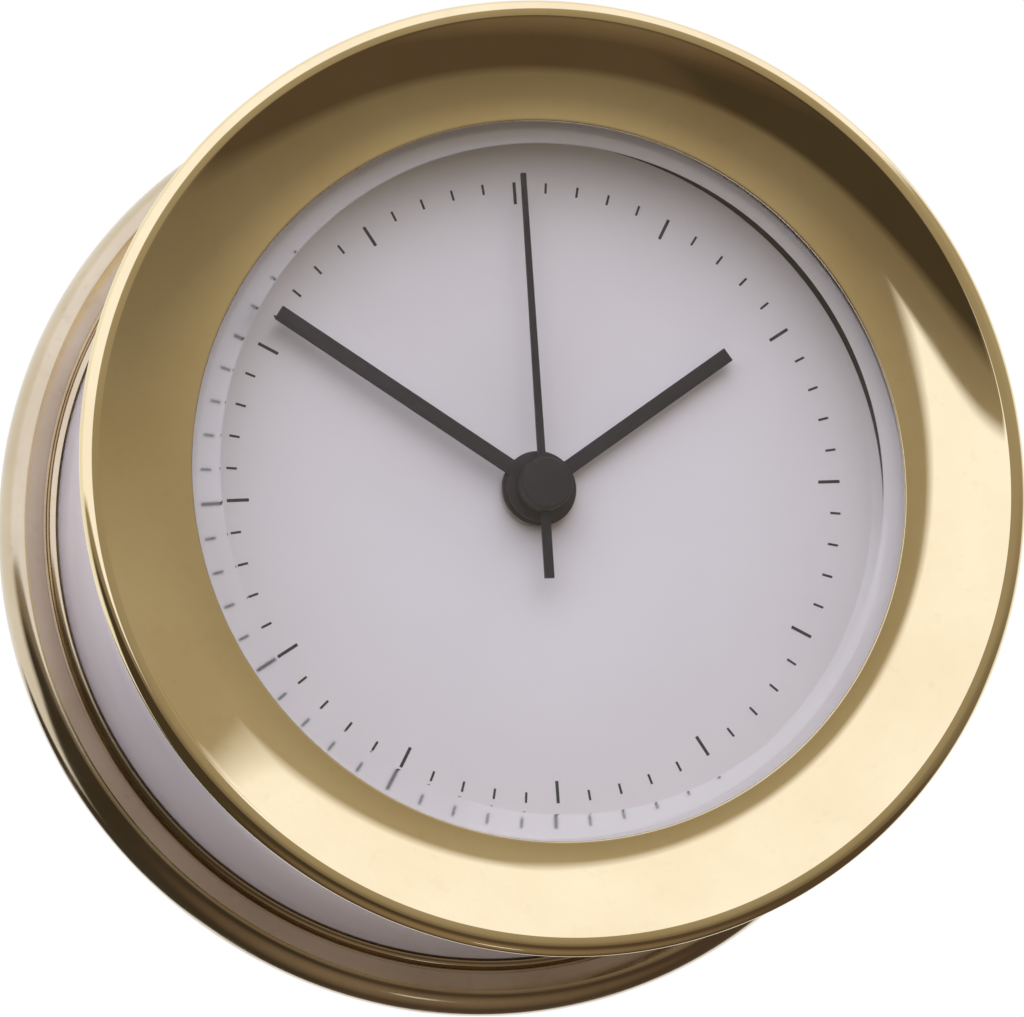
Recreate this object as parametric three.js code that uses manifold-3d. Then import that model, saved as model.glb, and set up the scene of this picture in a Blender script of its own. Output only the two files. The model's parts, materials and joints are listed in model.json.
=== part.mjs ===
// A ships clock: a brass base flange and bezel on a white drum, with a battery quartz movement inside.
// Sizes are millimetres. The pieces are drawn facing the dial: x to the right, y to 12 o'clock and
// z from the wall (0) out towards the viewer. The finished clock is then turned to stand with +Z up.

import * as THREE from 'three';
import { mergeVertices } from 'three/addons/utils/BufferGeometryUtils.js';
import Module from 'manifold-3d';

const wasm = await Module();
wasm.setup();

// Clearances
const fitGap = 0.3;
const runGap = 0.2;
const overcut = 1;
const ringSides = 40;
const smallSides = 14;
const bossSides = 24;

// Drum, which is sized to go around the movement
const overallDepth = 49.3;
const movementClearance = 3.72;
const drumWall = 1.6;
const shoulderDepth = 1;
const seatThickness = 0.6;
const seatSkirt = 6.5;
const seatSkirtWall = 0.8;
const seatOverlap = 1.4;

// Bezel
const bezelOverhang = 4.8;
const rimWidth = 2.05;
const rimRise = 1.35;
const rimBack = 1.05;
const coveDrop = 4.05;
const openingLip = 0.6;
const bezelCollar = 4.2;
const neckWall = 4.4;

// Base flange and back cover
const flangeWidest = 2.2;
const rollWidth = 2.45;
const rollRise = 4.3;
const backRound = 1;
const bandWidth = 2.2;
const bandDrop = 0.7;
const grooveWidth = 0.25;
const grooveDepth = 0.35;
const mouldingWidth = 1;
const mouldingRise = 1.25;
const ledgeThickness = 1.2;
const ledgeWidth = 6;
const coverInset = 3.2;
const coverThickness = 2;
const coverScrews = 3;
const screwInset = 3;
const screwRadius = 0.9;
const screwHeadRadius = 1.8;
const screwHeadHeight = 0.8;
const screwLength = 2.6;
const screwSlotWidth = 0.5;
const screwSlotDepth = 0.35;
const windowMargin = 1.1;
const keyholeHeight = 30;
const keyholeRadius = 4.6;
const keyholeSlot = 2.4;
const keyholeRise = 7;

// Glass, with its gasket and retaining ring
const glassSeat = 2;
const glassRim = 2.4;
const glassBevelWidth = 3.3;
const glassBevelSlope = 0.75;
const glassBevelReach = 0.4;
const gasketThickness = 0.45;
const gasketWidth = 1.4;
const ringHeight = 1.7;

// Dial and hands
const dialInset = 0.7;
const dialThickness = 1;
const capClearance = 0.55;
const handThickness = 0.5;
const handGap = 0.4;
const hourHandLength = 27.7;
const hourHandWidth = 1.7;
const hourBossWall = 1.9;
const minuteHandLength = 35.6;
const minuteHandWidth = 1.75;
const minuteBossWall = 2.25;
const secondsHandLength = 36.2;
const secondsTailLength = 10.7;
const secondsTipWidth = 0.6;
const secondsRootWidth = 0.9;
const secondsTailWidth = 1.1;
const secondsBlade = 0.4;
const capRadius = 3;
const capHeight = 2.6;
const capRound = 0.4;
const hourAngle = 57.5;
const minuteAngle = 306.2;
const secondsAngle = 0.4;

// Arbors and pipes, from the inside out
const secondsArbor = 0.55;
const minutePipeWall = 0.8;
const hourPipeWall = 0.45;
const bushWall = 0.9;
const nutWall = 0.7;
const nutHeight = 0.7;
const trainArbor = 0.5;
const rotorArbor = 0.4;
const pivotDepth = 0.7;

// Movement case
const caseWall = 1.2;
const rearCaseHeight = 7.7;
const baySlack = 1.1;
const cushionRadius = 12;
const partitionWall = 0.8;

// Gear train: tooth form, tooth counts, modules and layers
const addendum = 0.8;
const dedendum = 1.1;
const rootShare = 0.27;
const tipShare = 0.1;
const motorModule = 0.35;
const secondsModule = 0.48;
const cannonModule = 0.56;
const rotorTeeth = 6;
const intermediateTeeth = 36;
const intermediatePinionTeeth = 8;
const secondsTeeth = 40;
const secondsPinionTeeth = 6;
const thirdTeeth = 45;
const thirdPinionTeeth = 6;
const minuteTeeth = 48;
const cannonTeeth = 8;
const motionTeeth = 24;
const motionPinionTeeth = 8;
const hourTeeth = 32;
const settingTeeth = 12;
const wheelThickness = 0.8;
const layerGap = 0.5;
const pinionOverlap = 0.3;
const thirdDirection = 180;
const motionDirection = 0;
const intermediateDirection = 60;
const rotorDirection = 30;
const settingDirection = 270;

// Motor, board, battery and setting knob
const magnetRadius = 2.9;
const magnetHeight = 1.6;
const statorThickness = 0.8;
const statorRim = 2;
const statorBar = 2.4;
const statorLeg = 3;
const rotorAirGap = 0.5;
const coilLength = 22;
const coilFlangeRadius = 3.3;
const coilWindingWall = 1.4;
const coilTubeWall = 0.5;
const coilFlange = 0.8;
const coreWidth = 1.4;
const coreThickness = 0.9;
const plateThickness = 0.8;
const boardWidth = 11;
const boardHeight = 18;
const boardThickness = 0.8;
const crystalRadius = 1;
const crystalLength = 6;
const batteryRadius = 7.1;
const batteryLength = 49.2;
const batteryNub = 1.2;
const batteryNubRadius = 2.7;
const contactThickness = 0.5;
const contactWidth = 9;
const settingRadius = 1.2;
const knobRadius = 4.2;
const knobHeight = 4.4;
const knobFloor = 1;
const knobRibs = 18;
const knobRibDepth = 0.4;

// Heights along the clock's axis
const rimPlane = overallDepth - rimRise;
const openingEdge = overallDepth - coveDrop;
const lipBack = openingEdge - openingLip;
const collarBack = rimPlane - bezelCollar;
const glassRimTop = lipBack - fitGap - glassBevelSlope * glassBevelReach;
const glassBack = glassRimTop - glassRim;
const glassFront = glassRimTop + glassBevelSlope * glassBevelWidth;
const gasketTop = glassBack - fitGap;
const glassRingTop = gasketTop - gasketThickness - fitGap;
const capFront = glassBack - capClearance;
const capBack = capFront - capHeight;
const minuteHandBack = capBack - handGap - handThickness;
const hourHandBack = minuteHandBack - handGap - handThickness;
const nutFront = hourHandBack - fitGap;
const nutBack = nutFront - nutHeight;
const dialFront = nutBack - fitGap;
const dialBack = dialFront - dialThickness;
const seatTop = dialBack - fitGap;
const seatBack = seatTop - seatThickness;
const seatFoot = seatTop - seatSkirt;
const movementFront = seatBack - fitGap;
const roomFront = movementFront - caseWall;
const movementBack = roomFront - 2 * (batteryRadius + fitGap);
const roomBack = movementBack + caseWall;
const caseSplit = movementBack + rearCaseHeight;
const ledgeBack = coverThickness + fitGap;
const ledgeFront = ledgeBack + ledgeThickness;
const drumFoot = ledgeFront + fitGap;

// Layers of the train, from the front wall backwards and from the rear wall forwards
const hourWheelTop = roomFront - layerGap;
const hourWheelBack = hourWheelTop - wheelThickness;
const motionWheelTop = hourWheelBack - layerGap;
const motionWheelBack = motionWheelTop - wheelThickness;
const minuteWheelTop = motionWheelBack - layerGap;
const minuteWheelBack = minuteWheelTop - wheelThickness;
const intermediateBack = roomBack + 2 * layerGap;
const intermediateTop = intermediateBack + wheelThickness;
const statorBack = intermediateTop + layerGap;
const statorTop = statorBack + statorThickness;
const secondsWheelBack = statorTop + layerGap;
const secondsWheelTop = secondsWheelBack + wheelThickness;
const plateBack = secondsWheelTop + layerGap;
const plateTop = plateBack + plateThickness;
const thirdWheelBack = plateTop + layerGap;
const thirdWheelTop = thirdWheelBack + wheelThickness;

// Centre distances, modules shared by two pairs on the same centres, and arbor positions
const thirdDistance = centreDistance(secondsModule, secondsPinionTeeth, thirdTeeth);
const minuteModule = sharedModule(thirdDistance, thirdPinionTeeth, minuteTeeth);
const motionDistance = centreDistance(cannonModule, cannonTeeth, motionTeeth);
const hourModule = sharedModule(motionDistance, motionPinionTeeth, hourTeeth);
const intermediateDistance = centreDistance(motorModule, intermediatePinionTeeth, secondsTeeth);
const rotorDistance = centreDistance(motorModule, rotorTeeth, intermediateTeeth);
const settingDistance = centreDistance(minuteModule, settingTeeth, minuteTeeth);
const centre = new THREE.Vector2(0, 0);
const thirdAt = reach(centre, thirdDistance, thirdDirection);
const motionAt = reach(centre, motionDistance, motionDirection);
const intermediateAt = reach(centre, intermediateDistance, intermediateDirection);
const rotorAt = reach(intermediateAt, rotorDistance, rotorDirection);
const settingAt = reach(centre, settingDistance, settingDirection);

// Movement room in plan: the battery bay lies below the setting pinion, and the coil under the top wall
const partitionTop = settingAt.y - tipRadius(settingTeeth, minuteModule) - fitGap;
const partitionBottom = partitionTop - partitionWall;
const batteryY = partitionBottom - fitGap - batteryRadius;
const batteryZ = roomFront - fitGap - batteryRadius;
const roomBottom = batteryY - batteryRadius - fitGap;
const roomRight = batteryLength / 2 + contactThickness + 2 * fitGap + baySlack;
const coilTubeBore = Math.hypot(coreWidth, coreThickness) / 2 + runGap;
const coilTubeRadius = coilTubeBore + coilTubeWall;
const coilY = intermediateAt.y + tipRadius(intermediateTeeth, motorModule) + fitGap + coilFlangeRadius;
const roomTop = coilY + coilFlangeRadius + fitGap;
const coreBack = statorTop + fitGap;
const coilZ = coreBack + coreThickness / 2;
const statorRadius = magnetRadius + rotorAirGap + statorRim;
const coilRight = rotorAt.x - statorRadius - fitGap;
const coilLeft = coilRight - coilLength;

// Radii of the case, from the movement outwards, and of the pipes, from the centre outwards
const movementCorner = Math.hypot(roomRight, Math.max(roomTop, -roomBottom)) + Math.SQRT2 * caseWall;
const drumBore = movementCorner + movementClearance + shoulderDepth;
const drumRadius = drumBore + drumWall;
const neckRadius = drumBore - fitGap;
const bezelRadius = drumRadius + bezelOverhang;
const bezelBore = neckRadius - neckWall;
const glassRadius = bezelBore - fitGap;
const openingRadius = glassRadius - glassSeat;
const glassBevelRadius = openingRadius + glassBevelReach;
const glassFlatRadius = glassBevelRadius - glassBevelWidth;
const dialRadius = openingRadius - dialInset;
const drumSeatRadius = drumRadius + fitGap;
const flangeRadius = drumSeatRadius + mouldingWidth + grooveWidth + bandWidth + rollWidth;
const coverRadius = drumRadius - coverInset;
const rebateRadius = coverRadius + fitGap;
const ledgeBore = rebateRadius - ledgeWidth;
const screwCircle = coverRadius - screwInset;
const minutePipe = secondsArbor + runGap + minutePipeWall;
const hourPipe = minutePipe + runGap + hourPipeWall;
const bushBore = hourPipe + runGap;
const bushRadius = bushBore + bushWall;
const nutRadius = bushRadius + runGap + nutWall;

const finish = (color, roughness, metalness) => (
  new THREE.MeshStandardMaterial({ color, roughness, metalness })
);
const brass = finish(0xc9a55c, 0.18, 1);
const whitePaint = finish(0xd8d3da, 0.4, 0);
const dialWhite = finish(0xe9e7ea, 0.55, 0);
const blackPaint = finish(0x2b292b, 0.6, 0);
const darkSteel = finish(0x4a4744, 0.5, 0.8);
const steel = finish(0xb4b4b6, 0.35, 1);
const copper = finish(0xb06a3a, 0.35, 1);
const rubber = finish(0x1d1d1e, 0.9, 0);
const blackPlastic = finish(0x222224, 0.5, 0);
const palePlastic = finish(0xe4e0d4, 0.5, 0);
const boardGreen = finish(0x2d5a3a, 0.6, 0);
const cellGrey = finish(0x6f7478, 0.4, 0.4);
const clearGlass = finish(0xeef2f2, 0.03, 0);
clearGlass.transparent = true;
clearGlass.opacity = 0.35;

function centreDistance(module, teethA, teethB) {
  return module * (teethA + teethB) / 2;
}

function sharedModule(distance, teethA, teethB) {
  return 2 * distance / (teethA + teethB);
}

function tipRadius(teeth, module) {
  return module * (teeth / 2 + addendum);
}

function reach(from, distance, degrees) {
  const angle = THREE.MathUtils.degToRad(degrees);
  return new THREE.Vector2(from.x + distance * Math.cos(angle), from.y + distance * Math.sin(angle));
}

// Points along an arc of an ellipse in the radius and height plane
function arc(radius, height, halfWidth, halfHeight, startDegrees, endDegrees, steps) {
  return Array.from({ length: steps + 1 }, (unused, i) => {
    const angle = THREE.MathUtils.degToRad(startDegrees + (endDegrees - startDegrees) * i / steps);
    return [radius + halfWidth * Math.cos(angle), height + halfHeight * Math.sin(angle)];
  });
}

// A body of revolution about z. The profile runs anticlockwise in radius and height.
function turned(profile, sides = ringSides) {
  const points = profile.map(([radius, height]) => new THREE.Vector2(radius, height));
  return new THREE.LatheGeometry(points, sides).rotateX(Math.PI / 2);
}

function turnedRing(profile, sides = ringSides) {
  return turned([...profile, profile[0]], sides);
}

function tube(outer, inner, back, front, sides = ringSides) {
  return turnedRing([[inner, back], [outer, back], [outer, front], [inner, front]], sides);
}

function rod(radius, back, front, sides = smallSides) {
  return turned([[0, back], [radius, back], [radius, front], [0, front]], sides);
}

function block(left, right, bottom, top, back, front) {
  const box = new THREE.BoxGeometry(right - left, top - bottom, front - back);
  return box.translate((left + right) / 2, (bottom + top) / 2, (back + front) / 2);
}

function plate(shape, back, front) {
  const options = { depth: front - back, bevelEnabled: false };
  return new THREE.ExtrudeGeometry(shape, options).translate(0, 0, back);
}

function polygon(points) {
  return new THREE.Shape(points.map(([x, y]) => new THREE.Vector2(x, y)));
}

// Welded copy of a geometry, without the triangles that a lathe folds to nothing on its axis
function welded(geometry) {
  const bare = geometry.clone();
  bare.deleteAttribute('normal');
  bare.deleteAttribute('uv');
  const merged = mergeVertices(bare, 1e-4);
  const corners = merged.index.array;
  const kept = [];
  for (let i = 0; i < corners.length; i += 3) {
    const [a, b, c] = corners.slice(i, i + 3);
    if (a !== b && b !== c && c !== a) kept.push(a, b, c);
  }
  merged.setIndex(kept);
  return merged;
}

function asSolid(geometry) {
  const merged = welded(geometry);
  const vertProperties = new Float32Array(merged.attributes.position.array);
  const triVerts = new Uint32Array(merged.index.array);
  return new wasm.Manifold(new wasm.Mesh({ numProp: 3, vertProperties, triVerts }));
}

function asGeometry(solid) {
  const mesh = solid.getMesh();
  const geometry = new THREE.BufferGeometry();
  geometry.setAttribute('position', new THREE.BufferAttribute(new Float32Array(mesh.vertProperties), 3));
  geometry.setIndex(new THREE.BufferAttribute(new Uint32Array(mesh.triVerts), 1));
  return geometry;
}

// Joins the pieces of one body, then takes the cutters out of it
function shaped(pieces, cutters = []) {
  let solid = asSolid(pieces[0]);
  for (const piece of pieces.slice(1)) solid = solid.add(asSolid(piece));
  for (const cutter of cutters) solid = solid.subtract(asSolid(cutter));
  return asGeometry(solid);
}

const clock = new THREE.Group();
clock.name = 'ships_clock';
clock.rotation.x = Math.PI / 2;

function place(name, geometry, material, at = centre) {
  const merged = welded(geometry);
  merged.computeVertexNormals();
  const mesh = new THREE.Mesh(merged, material);
  mesh.name = name;
  mesh.position.set(at.x, at.y, 0);
  clock.add(mesh);
  return mesh;
}

// Base flange: outer roll, flat band, quarter-round moulding, and the ledge under the drum and the cover
function baseFlange() {
  const rollRadius = flangeRadius - rollWidth;
  const bandHeight = flangeWidest + rollRise - bandDrop;
  const grooveFloor = bandHeight - grooveDepth;
  const grooveInner = drumSeatRadius + mouldingWidth;
  const profile = [
    [rebateRadius, 0],
    ...arc(flangeRadius - backRound, flangeWidest, backRound, flangeWidest, -90, 0, 2),
    ...arc(rollRadius, flangeWidest, rollWidth, rollRise, 0, 90, 5).slice(1),
    [rollRadius, bandHeight],
    [grooveInner + grooveWidth, bandHeight],
    [grooveInner + grooveWidth, grooveFloor],
    ...arc(drumSeatRadius, grooveFloor, mouldingWidth, grooveDepth + mouldingRise, 0, 90, 4),
    [drumSeatRadius, ledgeFront],
    [ledgeBore, ledgeFront],
    [ledgeBore, ledgeBack],
    [rebateRadius, ledgeBack],
  ];
  const hole = rod(screwRadius + runGap, ledgeBack - overcut, ledgeFront + overcut);
  return shaped([turnedRing(profile)], screwPlaces().map(({ x, y }) => hole.clone().translate(x, y, 0)));
}

function screwPlaces() {
  const first = 150;
  const step = 360 / coverScrews;
  return Array.from({ length: coverScrews }, (unused, i) => reach(centre, screwCircle, first + step * i));
}

// Back cover: a disc with a battery window, a keyhole for the wall screw and sunk screw holes
function backCover() {
  const front = coverThickness + overcut;
  const windowHalf = batteryLength / 2 + windowMargin;
  const windowBottom = batteryY - batteryRadius - windowMargin;
  const windowTop = settingAt.y + knobRadius + windowMargin;
  const neck = THREE.MathUtils.radToDeg(Math.asin(keyholeSlot / keyholeRadius));
  const keyhole = polygon([
    ...arc(0, keyholeHeight, keyholeRadius, keyholeRadius, 90 + neck, 450 - neck, 14),
    ...arc(0, keyholeHeight + keyholeRise, keyholeSlot, keyholeSlot, 0, 180, 6),
  ]);
  const sunkHoles = screwPlaces().flatMap(({ x, y }) => [
    rod(screwRadius + runGap, -overcut, front).translate(x, y, 0),
    rod(screwHeadRadius + runGap, -overcut, screwHeadHeight + fitGap).translate(x, y, 0),
  ]);
  return shaped([rod(coverRadius, 0, coverThickness, ringSides)], [
    block(-windowHalf, windowHalf, windowBottom, windowTop, -overcut, front),
    plate(keyhole, -overcut, front),
    ...sunkHoles,
  ]);
}

// Cover screw: flat head sunk in the cover, with a driver slot
function coverScrew() {
  const head = rod(screwHeadRadius, 0, screwHeadHeight);
  const shank = rod(screwRadius, screwHeadHeight - fitGap / 2, screwHeadHeight + screwLength);
  const slotEnd = screwHeadRadius + overcut;
  const slotSide = screwSlotWidth / 2;
  const slot = block(-slotEnd, slotEnd, -slotSide, slotSide, -overcut, screwSlotDepth);
  return shaped([head, shank], [slot]);
}

// Drum: painted tube with an inner shoulder for the dial seat
function caseDrum() {
  const shoulder = seatFoot - fitGap;
  const top = collarBack - fitGap;
  return turnedRing([
    [drumBore - shoulderDepth, drumFoot],
    [drumRadius, drumFoot],
    [drumRadius, top],
    [drumBore, top],
    [drumBore, shoulder],
    [drumBore - shoulderDepth, shoulder],
  ]);
}

// Dial seat: thin ledge behind the dial's edge on a short skirt
function dialSeat() {
  return turnedRing([
    [neckRadius - seatSkirtWall, seatFoot],
    [neckRadius, seatFoot],
    [neckRadius, seatTop],
    [dialRadius - seatOverlap, seatTop],
    [dialRadius - seatOverlap, seatBack],
    [neckRadius - seatSkirtWall, seatBack],
  ]);
}

// Bezel: flat rim with a rounded edge, cove from its crest down to the opening, and a neck that fits the drum
function bezel() {
  const crestRadius = bezelRadius - rimWidth;
  const coveWidth = crestRadius - openingRadius;
  const coveRadius = (coveWidth ** 2 + coveDrop ** 2) / (2 * coveDrop);
  const coveEnd = THREE.MathUtils.radToDeg(Math.asin(coveWidth / coveRadius));
  const neckEnd = seatTop + fitGap;
  return turnedRing([
    [bezelBore, neckEnd],
    [neckRadius, neckEnd],
    [neckRadius, collarBack],
    [drumRadius, collarBack],
    ...arc(bezelRadius - rimBack, rimPlane, rimBack, rimBack, -90, 0, 3),
    ...arc(bezelRadius - rimRise, rimPlane, rimRise, rimRise, 0, 90, 4).slice(1),
    ...arc(openingRadius, openingEdge + coveRadius, coveRadius, coveRadius, coveEnd - 90, -90, 5),
    [openingRadius, lipBack],
    [bezelBore, lipBack],
  ]);
}

// Glass: flat in the middle, with a bevel that runs on under the bezel's lip
function glass() {
  return turned([
    [0, glassBack],
    [glassRadius, glassBack],
    [glassRadius, glassRimTop],
    [glassBevelRadius, glassRimTop],
    [glassFlatRadius, glassFront],
    [0, glassFront],
  ]);
}

function glassGasket() {
  return tube(glassRadius, glassRadius - gasketWidth, gasketTop - gasketThickness, gasketTop);
}

function glassRing() {
  return tube(glassRadius, openingRadius + fitGap, glassRingTop - ringHeight, glassRingTop);
}

function dial() {
  return tube(dialRadius, bushRadius + fitGap, dialBack, dialFront);
}

// Hands point to 12 o'clock here, and are turned when they are placed
function squareHand(length, width, bore, bossWall, back) {
  const front = back + handThickness;
  const boss = rod(bore + bossWall, back, front, bossSides);
  const blade = block(-width / 2, width / 2, 0, length, back, front);
  return shaped([boss, blade], [rod(bore, back - overcut, front + overcut)]);
}

function hourHand() {
  return squareHand(hourHandLength, hourHandWidth, hourPipe + runGap, hourBossWall, hourHandBack);
}

function minuteHand() {
  return squareHand(minuteHandLength, minuteHandWidth, minutePipe + runGap, minuteBossWall, minuteHandBack);
}

function secondsHand() {
  const bladeBack = capBack + handGap;
  const blade = polygon([
    [-secondsTailWidth / 2, -secondsTailLength],
    [secondsTailWidth / 2, -secondsTailLength],
    [secondsRootWidth / 2, 0],
    [secondsTipWidth / 2, secondsHandLength],
    [-secondsTipWidth / 2, secondsHandLength],
    [-secondsRootWidth / 2, 0],
  ]);
  const cap = turned([
    [0, capBack],
    [capRadius, capBack],
    ...arc(capRadius - capRound, capFront - capRound, capRound, capRound, 0, 90, 3),
    [0, capFront],
  ], bossSides);
  const bore = rod(secondsArbor + runGap, capBack - overcut, capFront - 2 * capRound);
  return shaped([cap, plate(blade, bladeBack, bladeBack + secondsBlade)], [bore]);
}

function placeHand(name, geometry, degrees) {
  const hand = place(name, geometry, blackPaint);
  hand.rotation.z = -THREE.MathUtils.degToRad(degrees);
}

function bushNut() {
  return tube(nutRadius, bushRadius + runGap, nutBack, nutFront, bossSides);
}

function cushionWasher() {
  return tube(cushionRadius, bushRadius + fitGap, seatBack, seatTop, bossSides);
}

// A wheel of straight-flanked teeth, thinner than half the pitch so that a pair runs with play
function gear(teeth, module, phase, back, front) {
  const pitchRadius = teeth * module / 2;
  const tip = pitchRadius + addendum * module;
  const root = pitchRadius - dedendum * module;
  const step = 2 * Math.PI / teeth;
  const corners = [[root, -rootShare], [tip, -tipShare], [tip, tipShare], [root, rootShare]];
  const outline = [];
  for (let tooth = 0; tooth < teeth; tooth += 1) {
    for (const [radius, share] of corners) {
      const angle = phase + step * (tooth + share);
      outline.push([radius * Math.cos(angle), radius * Math.sin(angle)]);
    }
  }
  return plate(polygon(outline), back, front);
}

function pinion(teeth, module, phase, wheelBack, wheelTop) {
  return gear(teeth, module, phase, wheelBack - pinionOverlap, wheelTop + pinionOverlap);
}

// Phase of a driven gear whose driver, at phase zero, lies in the given direction from it to the driven one
function meshPhase(driverTeeth, drivenTeeth, degrees) {
  const along = THREE.MathUtils.degToRad(degrees);
  const toothPlace = along * driverTeeth / (2 * Math.PI);
  return along + Math.PI - (0.5 - toothPlace) * 2 * Math.PI / drivenTeeth;
}

function rotorPinion() {
  const teeth = pinion(rotorTeeth, motorModule, 0, intermediateBack, intermediateTop);
  return shaped([teeth, rod(rotorArbor, roomBack - pivotDepth, plateTop)]);
}

function rotorMagnet() {
  const back = statorBack + (statorThickness - magnetHeight) / 2 + pinionOverlap;
  return tube(magnetRadius, rotorArbor + runGap, back, back + magnetHeight, bossSides);
}

function intermediateWheel() {
  const phase = meshPhase(rotorTeeth, intermediateTeeth, rotorDirection + 180);
  return shaped([
    gear(intermediateTeeth, motorModule, phase, intermediateBack, intermediateTop),
    pinion(intermediatePinionTeeth, motorModule, 0, secondsWheelBack, secondsWheelTop),
    rod(trainArbor, roomBack - pivotDepth, plateTop),
  ]);
}

function secondsWheel() {
  const phase = meshPhase(intermediatePinionTeeth, secondsTeeth, intermediateDirection + 180);
  return shaped([
    gear(secondsTeeth, motorModule, phase, secondsWheelBack, secondsWheelTop),
    pinion(secondsPinionTeeth, secondsModule, 0, thirdWheelBack, thirdWheelTop),
    rod(secondsArbor, roomBack - pivotDepth, capFront - 3 * capRound),
  ]);
}

function thirdWheel() {
  const phase = meshPhase(secondsPinionTeeth, thirdTeeth, thirdDirection);
  return shaped([
    gear(thirdTeeth, secondsModule, phase, thirdWheelBack, thirdWheelTop),
    pinion(thirdPinionTeeth, minuteModule, 0, minuteWheelBack, minuteWheelTop),
    rod(trainArbor, plateBack, roomFront + pivotDepth),
  ]);
}

function minuteWheel() {
  const phase = meshPhase(thirdPinionTeeth, minuteTeeth, thirdDirection + 180);
  const pipeBack = minuteWheelBack - layerGap;
  const pipeFront = minuteHandBack + handThickness;
  return shaped([
    gear(minuteTeeth, minuteModule, phase, minuteWheelBack, minuteWheelTop),
    gear(cannonTeeth, cannonModule, 0, minuteWheelBack, motionWheelTop + pinionOverlap / 2),
    rod(minutePipe, pipeBack, pipeFront),
  ], [rod(secondsArbor + runGap, pipeBack - overcut, pipeFront + overcut)]);
}

function settingArbor() {
  const wheelPhase = meshPhase(thirdPinionTeeth, minuteTeeth, thirdDirection + 180);
  const along = THREE.MathUtils.degToRad(settingDirection);
  const toothPlace = (along - wheelPhase) * minuteTeeth / (2 * Math.PI);
  const phase = along + Math.PI - (0.5 - toothPlace) * 2 * Math.PI / settingTeeth;
  return shaped([
    pinion(settingTeeth, minuteModule, phase, minuteWheelBack, minuteWheelTop),
    rod(settingRadius, movementBack - fitGap - knobHeight + knobFloor + fitGap, minuteWheelTop + layerGap),
  ]);
}

// Setting knob: ribbed edge, blind bore for the arbor
function settingKnob() {
  const front = movementBack - fitGap;
  const back = front - knobHeight;
  const outline = Array.from({ length: 2 * knobRibs }, (unused, i) => {
    const radius = knobRadius - (i % 2) * knobRibDepth;
    const angle = Math.PI * i / knobRibs;
    return [radius * Math.cos(angle), radius * Math.sin(angle)];
  });
  const bore = rod(settingRadius + runGap, back + knobFloor, front + overcut);
  return shaped([plate(polygon(outline), back, front)], [bore]);
}

function motionWheel() {
  const phase = meshPhase(cannonTeeth, motionTeeth, motionDirection);
  const front = hourWheelTop + pinionOverlap / 2;
  return shaped([
    gear(motionTeeth, cannonModule, phase, motionWheelBack, motionWheelTop),
    gear(motionPinionTeeth, hourModule, 0, motionWheelBack, front),
  ], [rod(trainArbor + runGap, motionWheelBack - overcut, front + overcut)]);
}

function hourWheel() {
  const phase = meshPhase(motionPinionTeeth, hourTeeth, motionDirection + 180);
  const front = hourHandBack + handThickness;
  return shaped([
    gear(hourTeeth, hourModule, phase, hourWheelBack, hourWheelTop),
    rod(hourPipe, hourWheelBack, front),
  ], [rod(minutePipe + runGap, hourWheelBack - overcut, front + overcut)]);
}

// Shell of one half of the movement case, open towards the other half
function caseHalf(back, front, roomStart, roomEnd) {
  const side = roomRight + caseWall;
  const shell = block(-side, side, roomBottom - caseWall, roomTop + caseWall, back, front);
  const room = block(-roomRight, roomRight, roomBottom, roomTop, roomStart, roomEnd);
  return shaped([shell], [room]);
}

// Wall between the train and the battery bay, let into the walls around it
function partition(back, front) {
  const end = roomRight + caseWall / 2;
  return block(-end, end, partitionBottom, partitionTop, back, front);
}

function movementFrontCase() {
  const wallMiddle = roomFront + caseWall / 2;
  const bush = rod(bushRadius, wallMiddle, nutFront, bossSides);
  const post = rod(trainArbor, motionWheelBack - fitGap, wallMiddle).translate(motionAt.x, motionAt.y, 0);
  const pivot = rod(trainArbor + runGap, roomFront - overcut, roomFront + pivotDepth + fitGap / 2);
  const shell = caseHalf(caseSplit, movementFront, caseSplit - overcut, roomFront);
  return shaped([shell, bush, post, partition(caseSplit + fitGap, wallMiddle)], [
    rod(bushBore, roomFront - overcut, nutFront + overcut),
    pivot.translate(thirdAt.x, thirdAt.y, 0),
  ]);
}

function movementRearCase() {
  const top = caseSplit - fitGap;
  const shell = caseHalf(movementBack, top, roomBack, top + overcut);
  const bayEnd = roomRight - caseWall;
  const bayBottom = roomBottom + fitGap / 2;
  const bayTop = partitionBottom - fitGap / 2;
  const bay = block(-bayEnd, bayEnd, bayBottom, bayTop, movementBack - overcut, roomBack + overcut);
  const arbors = [[centre, secondsArbor], [intermediateAt, trainArbor], [rotorAt, rotorArbor]];
  const pivots = arbors.map(([at, arbor]) => (
    rod(arbor + runGap, roomBack - pivotDepth - fitGap / 2, roomBack + overcut).translate(at.x, at.y, 0)
  ));
  const settingHole = rod(settingRadius + runGap, movementBack - overcut, roomBack + overcut);
  return shaped([shell, partition(roomBack - caseWall / 2, top - fitGap)], [
    bay,
    ...pivots,
    settingHole.translate(settingAt.x, settingAt.y, 0),
  ]);
}

// Train plate: carries the inner pivots of the wheels
function trainPlate() {
  const top = coilY - coilFlangeRadius - fitGap;
  const side = roomRight - fitGap;
  const sheet = block(-side, side, partitionTop + fitGap, top, plateBack, plateTop);
  const holes = [
    [centre, tipRadius(secondsPinionTeeth, secondsModule)],
    [thirdAt, trainArbor],
    [intermediateAt, trainArbor],
    [rotorAt, rotorArbor],
    [settingAt, settingRadius],
  ].map(([at, radius]) => (
    rod(radius + runGap, plateBack - overcut, plateTop + overcut).translate(at.x, at.y, 0)
  ));
  return shaped([sheet], holes);
}

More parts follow.
